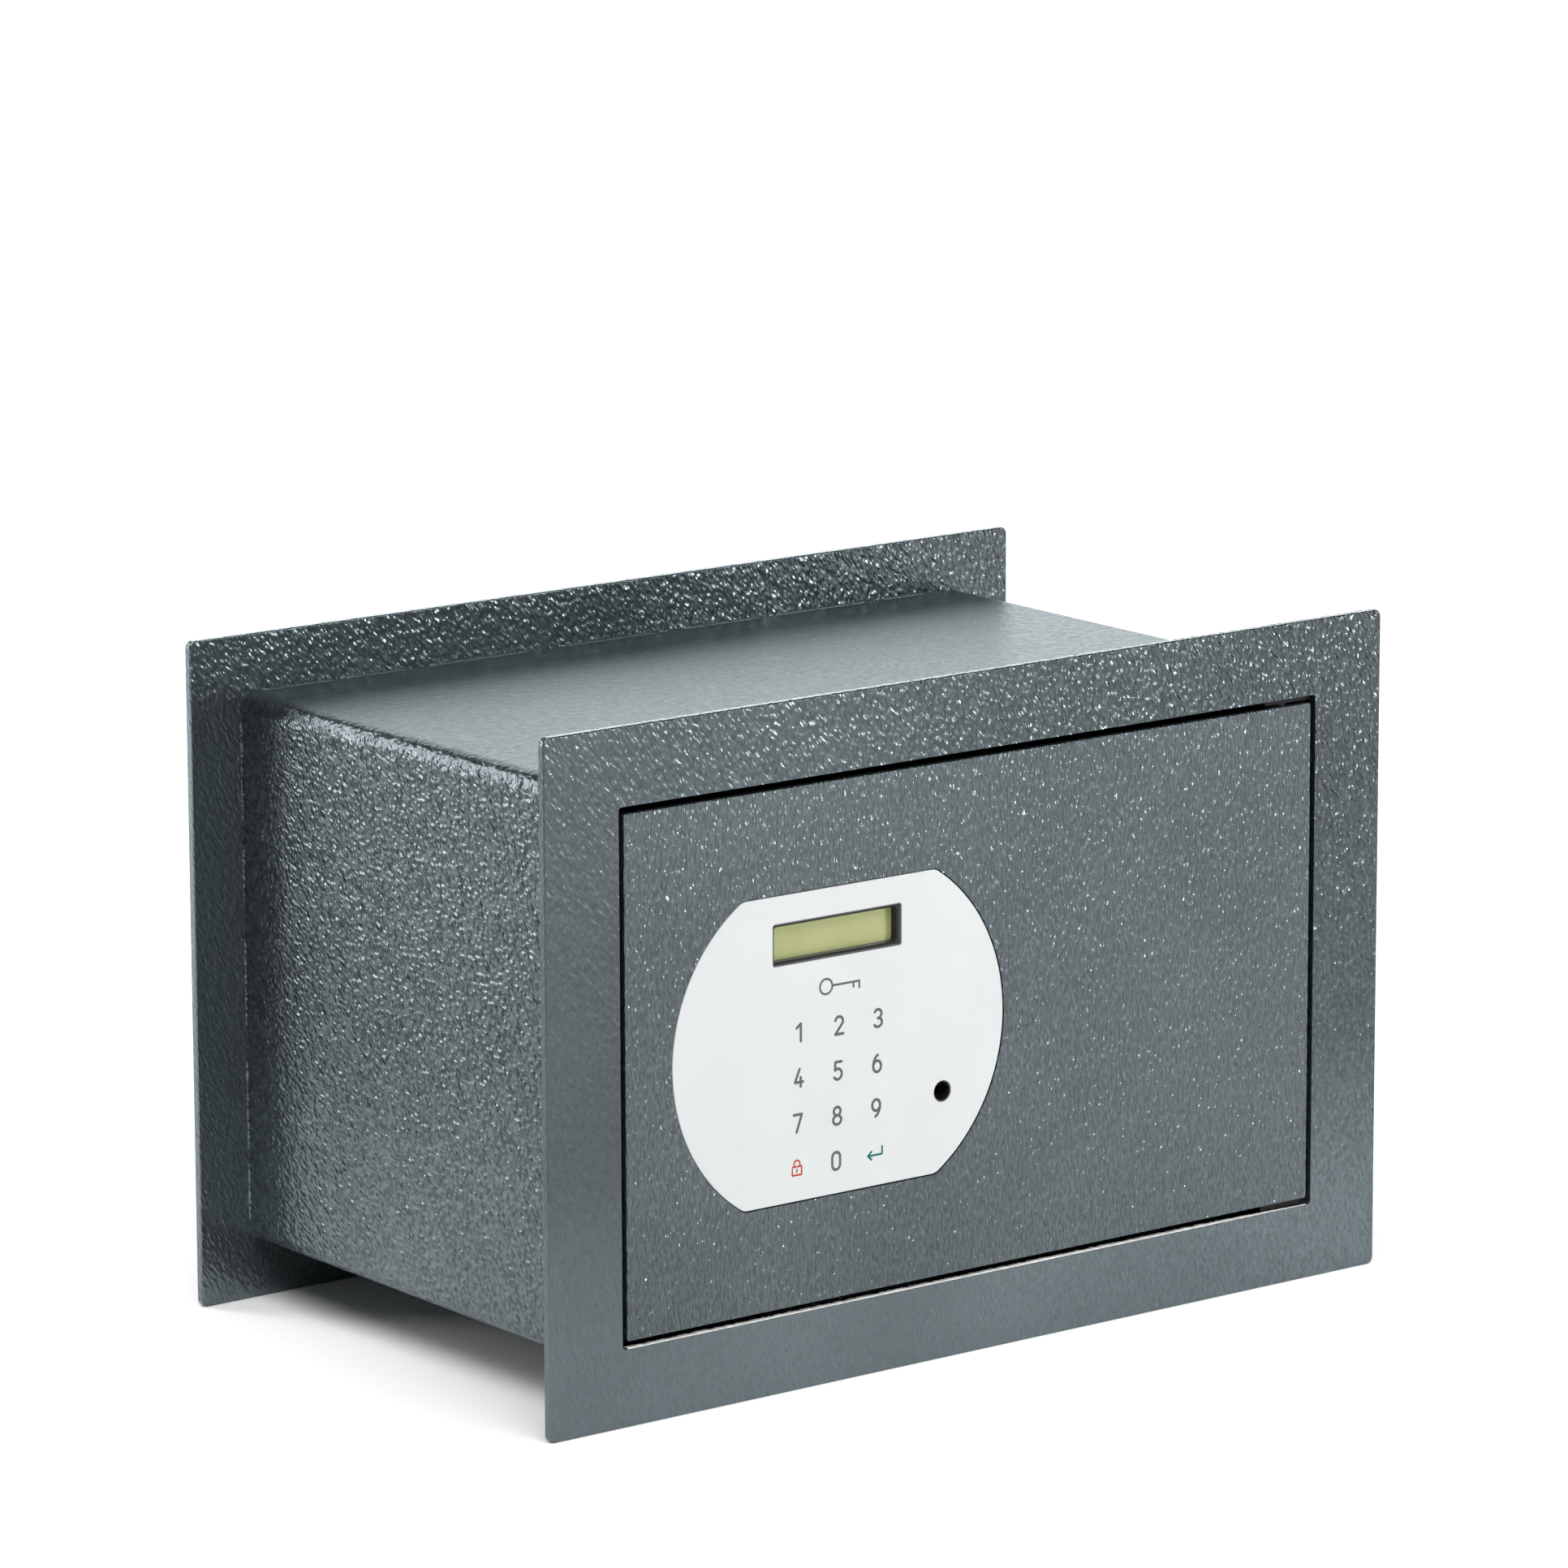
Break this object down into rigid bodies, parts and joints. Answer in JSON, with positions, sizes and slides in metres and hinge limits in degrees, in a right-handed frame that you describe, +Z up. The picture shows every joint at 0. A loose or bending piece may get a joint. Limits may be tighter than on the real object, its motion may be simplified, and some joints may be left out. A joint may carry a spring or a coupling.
{
  "type": "wall safe with electronic keypad",
  "caption": "Box-shaped wall safe with wide front and rear plates, a flush hinged door, round keypad with display, and motor-driven locking bolts.",
  "frame": {"origin": "middle of the bounding box in plan, on the bottom edges of the front and rear plates", "axes": "+X to the right seen from the front, +Y from the front face into the wall, +Z up"},
  "size_m": [0.35, 0.205, 0.23],
  "materials": {
    "body_powder_coat": "structured powder coat, slate grey",
    "door_powder_coat": "structured powder coat, slate grey",
    "floor_felt": "needled felt",
    "hinge_steel": "turned, lightly oiled",
    "bush_plastic": "natural moulded",
    "bolt_chrome": "polished plating",
    "zinc_steel": "bright zinc plating",
    "fastener_steel": "zinc plated",
    "pinion_brass": "hobbed",
    "shaft_steel": "ground",
    "gearbox_plastic": "moulded, fine texture",
    "motor_steel": "drawn steel can",
    "motor_cap_plastic": "moulded",
    "red_wire": "soft insulation",
    "black_wire": "soft insulation",
    "keypad_overlay": "satin printed foil",
    "keypad_housing_plastic": "moulded, fine texture",
    "lcd_bezel_plastic": "moulded, smooth",
    "lcd_cell": "clear face over a yellow-green panel",
    "circuit_board": "solder mask",
    "component_black": "moulded",
    "key_plastic": "moulded",
    "socket_plastic": "moulded",
    "battery_tray_plastic": "moulded, fine texture",
    "battery_wrap": "printed sleeve",
    "contact_nickel": "nickel plated"
  },
  "bodies": {
    "cabinet": {"body_shell": "body_powder_coat", "front_frame": "body_powder_coat", "rear_plate": "body_powder_coat", "floor_mat": "floor_felt", "hinge_bracket_upper": "body_powder_coat", "hinge_bracket_lower": "body_powder_coat", "hinge_pins": "hinge_steel"},
    "door": {"battery_box": "battery_tray_plastic", "battery_cells": "battery_wrap", "battery_contacts": "contact_nickel", "battery_leads": "black_wire", "battery_springs": "contact_nickel", "board_components": "component_black", "board_screws": "fastener_steel", "bolt_guides": "bush_plastic", "cover_screws": "fastener_steel", "door_pan": "door_powder_coat", "door_plate": "door_powder_coat", "gearbox_housing": "gearbox_plastic", "guide_posts": "zinc_steel", "hinge_blocks": "hinge_steel", "hinge_bushes": "bush_plastic", "housing_back": "keypad_housing_plastic", "inner_cover": "door_powder_coat", "key_switches": "component_black", "keypad_board": "circuit_board", "keypad_housing": "keypad_housing_plastic", "keypad_plate": "keypad_overlay", "keypad_studs": "fastener_steel", "lcd_bezel": "lcd_bezel_plastic", "lcd_module": "lcd_cell", "motor_bracket": "zinc_steel", "motor_can": "motor_steel", "motor_end_cap": "motor_cap_plastic", "motor_leads": "red_wire", "motor_screws": "fastener_steel", "post_clips": "fastener_steel", "power_socket": "socket_plastic", "stud_nuts": "fastener_steel"},
    "bolt_work": {"bolt_carriage": "zinc_steel", "bolt_upper": "bolt_chrome", "bolt_lower": "bolt_chrome", "bolt_screws": "fastener_steel", "carriage_rack": "zinc_steel", "rack_rivets": "fastener_steel"},
    "pinion": {"drive_pinion": "pinion_brass", "output_shaft": "shaft_steel"},
    "battery_lid": {"battery_cover": "battery_tray_plastic"},
    "key_1": {"key_1": "key_plastic"},
    "key_2": {"key_2": "key_plastic"},
    "key_3": {"key_3": "key_plastic"},
    "key_4": {"key_4": "key_plastic"},
    "key_5": {"key_5": "key_plastic"},
    "key_6": {"key_6": "key_plastic"},
    "key_7": {"key_7": "key_plastic"},
    "key_8": {"key_8": "key_plastic"},
    "key_9": {"key_9": "key_plastic"},
    "key_0": {"key_0": "key_plastic"},
    "key_cancel": {"key_cancel": "key_plastic"},
    "key_confirm": {"key_confirm": "key_plastic"}
  },
  "joints": [
    {"name": "door_hinge", "type": "hinge", "parent": "cabinet", "child": "door", "pos_m": [0.134, -0.0965, 0.115], "axis": [0, 0, 1], "range_deg": [0, 100]},
    {"name": "bolt_slide", "type": "slide", "parent": "door", "child": "bolt_work", "axis": [-1, 0, 0], "range_m": [0, 0.01]},
    {"name": "pinion_spin", "type": "hinge", "parent": "door", "child": "pinion", "pos_m": [0.031, -0.085, 0.15], "axis": [0, -1, 0], "range_deg": [-1, 83]},
    {"name": "battery_lid_pull", "type": "slide", "parent": "door", "child": "battery_lid", "axis": [0, 1, 0], "range_m": [0, 0.03]},
    {"name": "key_1_press", "type": "slide", "parent": "door", "child": "key_1", "axis": [0, 1, 0], "range_m": [0, 0.0004], "stiffness_N_per_m": 900},
    {"name": "key_2_press", "type": "slide", "parent": "door", "child": "key_2", "axis": [0, 1, 0], "range_m": [0, 0.0004], "stiffness_N_per_m": 900},
    {"name": "key_3_press", "type": "slide", "parent": "door", "child": "key_3", "axis": [0, 1, 0], "range_m": [0, 0.0004], "stiffness_N_per_m": 900},
    {"name": "key_4_press", "type": "slide", "parent": "door", "child": "key_4", "axis": [0, 1, 0], "range_m": [0, 0.0004], "stiffness_N_per_m": 900},
    {"name": "key_5_press", "type": "slide", "parent": "door", "child": "key_5", "axis": [0, 1, 0], "range_m": [0, 0.0004], "stiffness_N_per_m": 900},
    {"name": "key_6_press", "type": "slide", "parent": "door", "child": "key_6", "axis": [0, 1, 0], "range_m": [0, 0.0004], "stiffness_N_per_m": 900},
    {"name": "key_7_press", "type": "slide", "parent": "door", "child": "key_7", "axis": [0, 1, 0], "range_m": [0, 0.0004], "stiffness_N_per_m": 900},
    {"name": "key_8_press", "type": "slide", "parent": "door", "child": "key_8", "axis": [0, 1, 0], "range_m": [0, 0.0004], "stiffness_N_per_m": 900},
    {"name": "key_9_press", "type": "slide", "parent": "door", "child": "key_9", "axis": [0, 1, 0], "range_m": [0, 0.0004], "stiffness_N_per_m": 900},
    {"name": "key_0_press", "type": "slide", "parent": "door", "child": "key_0", "axis": [0, 1, 0], "range_m": [0, 0.0004], "stiffness_N_per_m": 900},
    {"name": "key_cancel_press", "type": "slide", "parent": "door", "child": "key_cancel", "axis": [0, 1, 0], "range_m": [0, 0.0004], "stiffness_N_per_m": 900},
    {"name": "key_confirm_press", "type": "slide", "parent": "door", "child": "key_confirm", "axis": [0, 1, 0], "range_m": [0, 0.0004], "stiffness_N_per_m": 900}
  ],
  "couplings": [
    {"joint": "pinion_spin", "follows": "bolt_slide", "rad_per_m": 142.86}
  ]
}
